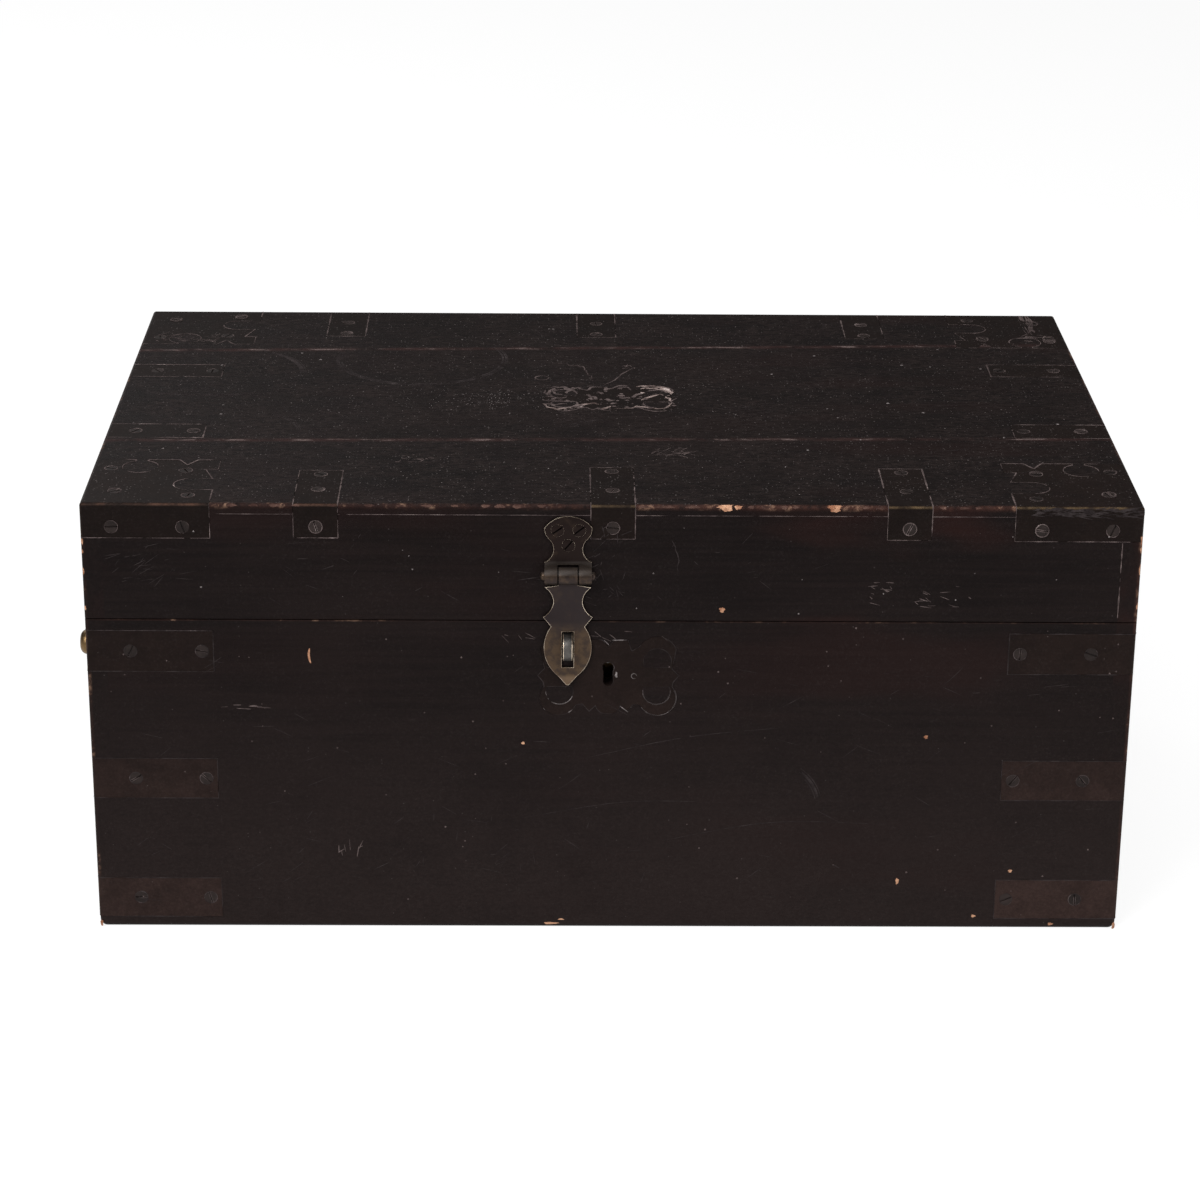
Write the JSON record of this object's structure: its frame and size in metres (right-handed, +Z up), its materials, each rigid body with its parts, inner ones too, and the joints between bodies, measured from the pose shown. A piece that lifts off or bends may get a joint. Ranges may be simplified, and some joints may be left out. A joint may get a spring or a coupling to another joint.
{
  "type": "brass-bound trunk",
  "caption": "Low rectangular lacquered wooden trunk with a hinged lift-up lid, flush brass straps and scroll-cut lid corners, a slotted hasp over a staple, a key lock and end handles",
  "frame": {"origin": "middle of the underside of the bottom board, on the surface that the trunk stands on", "axes": "+X along the width to the right as seen from the front, +Y to the back, so the front with the hasp faces -Y, +Z up"},
  "size_m": [0.755, 0.452, 0.31],
  "materials": {
    "lacquered_wood": "worn near-black lacquer on wood",
    "dark_brass": "darkened flush brass under old lacquer",
    "hasp_brass": "antique brass, rubbed bright at the edges",
    "bright_brass": "aged brass",
    "tarnished_screws": "tarnished slotted screw heads",
    "lock_steel": "plain steel"
  },
  "bodies": {
    "case": {"back_left_corner_straps": "dark_brass", "back_right_corner_straps": "dark_brass", "case_back": "lacquered_wood", "case_bottom": "lacquered_wood", "case_end_left": "lacquered_wood", "case_end_right": "lacquered_wood", "case_front": "lacquered_wood", "case_hinge_leaf_left": "bright_brass", "case_hinge_leaf_right": "bright_brass", "case_hinge_screws": "tarnished_screws", "case_strap_screws": "tarnished_screws", "escutcheon": "dark_brass", "front_left_corner_straps": "dark_brass", "front_right_corner_straps": "dark_brass", "handle_nuts_left": "bright_brass", "handle_nuts_right": "bright_brass", "handle_posts_left": "bright_brass", "handle_posts_right": "bright_brass", "hinge_pins": "lock_steel", "lock_cap": "bright_brass", "lock_case": "bright_brass", "lock_drill_pin": "lock_steel", "lock_screws": "tarnished_screws", "lock_spring": "lock_steel", "staple": "hasp_brass"},
    "lid": {"lid_back_strap_left": "dark_brass", "lid_back_strap_middle": "dark_brass", "lid_back_strap_right": "dark_brass", "lid_brass_screws": "tarnished_screws", "lid_corner_back_left": "dark_brass", "lid_corner_back_right": "dark_brass", "lid_corner_front_left": "dark_brass", "lid_corner_front_right": "dark_brass", "lid_end_left": "lacquered_wood", "lid_end_right": "lacquered_wood", "lid_front_strap_left": "dark_brass", "lid_front_strap_middle": "dark_brass", "lid_front_strap_right": "dark_brass", "lid_hinge_leaf_left": "bright_brass", "lid_hinge_leaf_right": "bright_brass", "lid_inner_screws": "tarnished_screws", "lid_left_strap_back": "dark_brass", "lid_left_strap_front": "dark_brass", "lid_ornament": "dark_brass", "lid_rail_back": "lacquered_wood", "lid_rail_front": "lacquered_wood", "lid_right_strap_back": "dark_brass", "lid_right_strap_front": "dark_brass", "lid_top_back": "lacquered_wood", "lid_top_front": "lacquered_wood", "lid_top_middle": "lacquered_wood", "link_plate": "bright_brass", "hasp_plate": "hasp_brass", "hasp_screws": "hasp_brass", "hasp_pin": "hasp_brass"},
    "hasp": {"hasp_leaf": "hasp_brass"},
    "lock_bolt": {"lock_bolt": "lock_steel"},
    "handle_left": {"handle_bail_left": "bright_brass"},
    "handle_right": {"handle_bail_right": "bright_brass"}
  },
  "joints": [
    {"name": "lid_hinge", "type": "hinge", "parent": "case", "child": "lid", "pos_m": [0, 0.2145, 0.2285], "axis": [-1, 0, 0], "range_deg": [0, 100]},
    {"name": "hasp_hinge", "type": "hinge", "parent": "lid", "child": "hasp", "pos_m": [-0.0294, -0.2261, 0.2625], "axis": [-1, 0, 0], "range_deg": [0, 180]},
    {"name": "lock_bolt_slide", "type": "slide", "parent": "case", "child": "lock_bolt", "axis": [1, 0, 0], "range_m": [0, 0.006]},
    {"name": "handle_left_pivot", "type": "hinge", "parent": "case", "child": "handle_left", "pos_m": [-0.367, 0, 0.146], "axis": [0, 1, 0], "range_deg": [-13, 193]},
    {"name": "handle_right_pivot", "type": "hinge", "parent": "case", "child": "handle_right", "pos_m": [0.367, 0, 0.146], "axis": [0, -1, 0], "range_deg": [-13, 193]}
  ]
}
